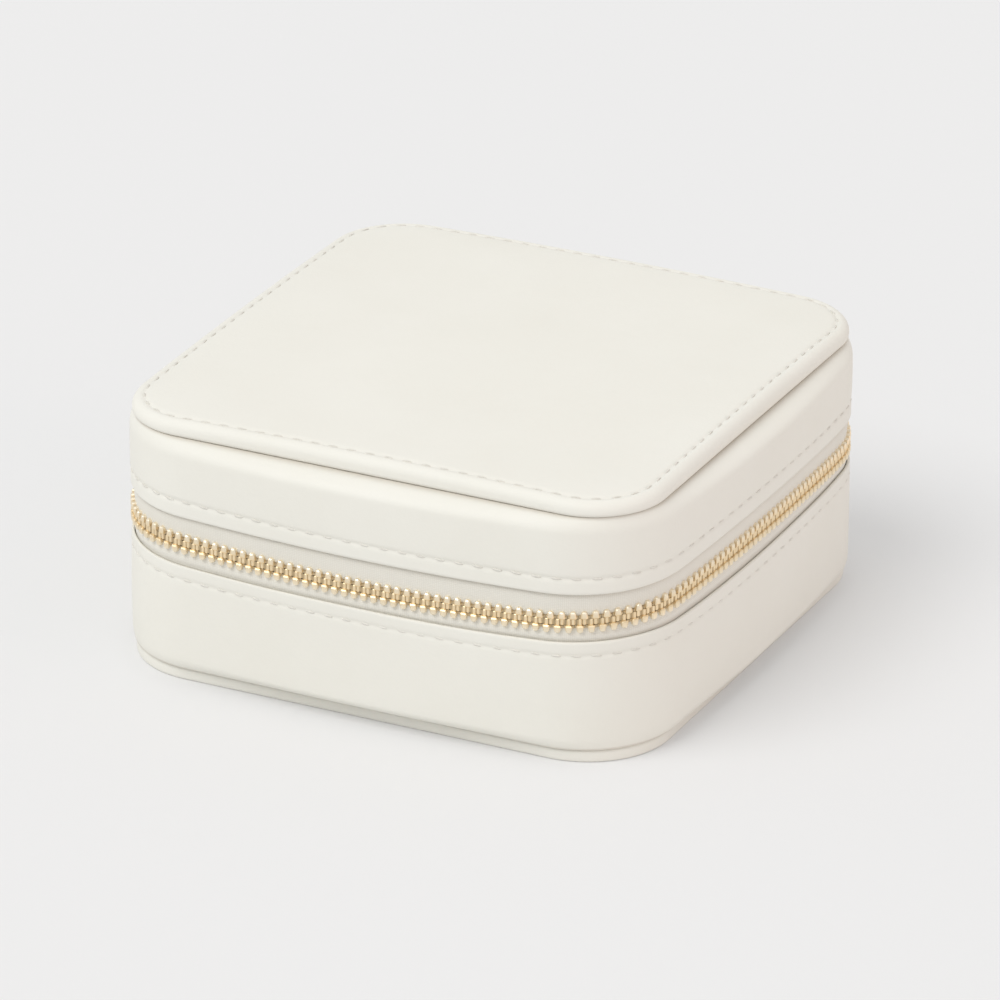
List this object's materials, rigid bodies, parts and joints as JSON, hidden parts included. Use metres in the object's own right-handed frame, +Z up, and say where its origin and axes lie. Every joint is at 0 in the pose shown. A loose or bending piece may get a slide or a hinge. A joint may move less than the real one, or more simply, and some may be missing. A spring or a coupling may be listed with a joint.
{
  "type": "jewelry box",
  "caption": "Small square zip-around jewelry box in padded cream faux leather, with a soft-hinged lid, a lid mirror, ring rolls and divided compartments.",
  "frame": {"origin": "centre of the flat underside, on the surface the box stands on", "axes": "+Z up through the lid, -Y out of the front, +Y to the hinge side, +X to the right seen from the front"},
  "size_m": [0.1101, 0.1074, 0.0496],
  "materials": {
    "cream_leather": "smooth faux leather, soft satin, fine grain",
    "wall_board": "plain grey-brown pressed board",
    "foam_padding": "thin off-white foam sheet",
    "beige_velvet": "short-pile beige velvet",
    "zip_tape": "fine woven cream tape",
    "zip_brass": "polished light gold brass",
    "mirror_glass": "silvered glass"
  },
  "bodies": {
    "base": {"base_bottom_cover": "cream_leather", "base_wall_cover": "cream_leather", "hinge_strip": "cream_leather", "base_bottom_board": "wall_board", "base_wall_core": "wall_board", "base_wall_lining": "beige_velvet", "base_floor_lining": "beige_velvet", "hinge_lining": "beige_velvet", "long_divider": "beige_velvet", "short_divider_left": "beige_velvet", "short_divider_right": "beige_velvet", "ring_roll_1": "beige_velvet", "ring_roll_2": "beige_velvet", "ring_roll_3": "beige_velvet", "ring_roll_4": "beige_velvet", "base_zip_tape": "zip_tape", "base_teeth_left": "zip_brass", "base_teeth_front": "zip_brass", "base_teeth_right": "zip_brass", "base_zip_stops": "zip_brass"},
    "lid": {"lid_top_cover": "cream_leather", "lid_wall_cover": "cream_leather", "lid_top_board": "wall_board", "lid_wall_core": "wall_board", "lid_top_padding": "foam_padding", "lid_wall_lining": "beige_velvet", "lid_lining_panel": "beige_velvet", "lid_mirror_rim": "beige_velvet", "lid_zip_tape": "zip_tape", "lid_teeth_left": "zip_brass", "lid_teeth_front": "zip_brass", "lid_teeth_right": "zip_brass", "lid_zip_stops": "zip_brass", "lid_mirror": "mirror_glass"},
    "zip_slider": {"zip_slider_body": "zip_brass"},
    "zip_pull": {"zip_pull_tab": "zip_brass"}
  },
  "joints": [
    {"name": "lid_swing", "type": "hinge", "parent": "base", "child": "lid", "pos_m": [0, 0.05265, 0.0264], "axis": [-1, 0, 0], "range_deg": [0, 105], "deforming": ["hinge_strip", "hinge_lining"]},
    {"name": "slider_travel", "type": "hinge", "parent": "base", "child": "zip_slider", "pos_m": [0.2964, 0, 0.0264], "axis": [0, 0, 1], "range_deg": [0, 9.2], "deforming": ["base_teeth_left", "lid_teeth_left"]},
    {"name": "pull_swing", "type": "hinge", "parent": "zip_slider", "child": "zip_pull", "pos_m": [-0.05506, 0.02828, 0.0264], "axis": [0.0802, 0.9968, 0], "range_deg": [0, 180]}
  ]
}
